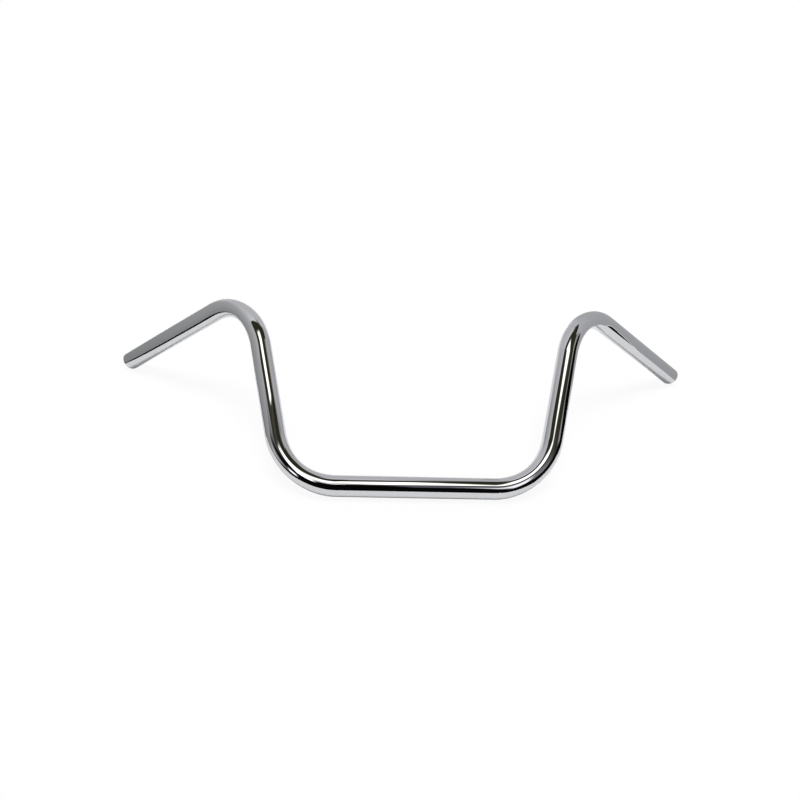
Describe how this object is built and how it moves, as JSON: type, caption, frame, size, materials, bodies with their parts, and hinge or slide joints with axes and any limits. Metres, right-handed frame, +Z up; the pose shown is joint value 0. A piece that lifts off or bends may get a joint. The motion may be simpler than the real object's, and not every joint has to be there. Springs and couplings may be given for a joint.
{
  "type": "ape hanger handlebar",
  "caption": "Chromed steel tube handlebar bent into a tall U, its grips swept out, back and down; the straight base clamps in a motorcycle stem.",
  "frame": {"origin": "on the tube's axis in the middle of the straight base, where the stem clamps it", "axes": "+X along the base towards the rider's left hand, +Y from the base back to the rider, +Z up as the bar lies at rest on its base and its grip ends"},
  "size_m": [0.736, 0.2566, 0.1359],
  "materials": {
    "chrome": "bright decorative chrome plate on polished steel tube"
  },
  "bodies": {
    "root": {"handlebar": "chrome"}
  },
  "joints": []
}
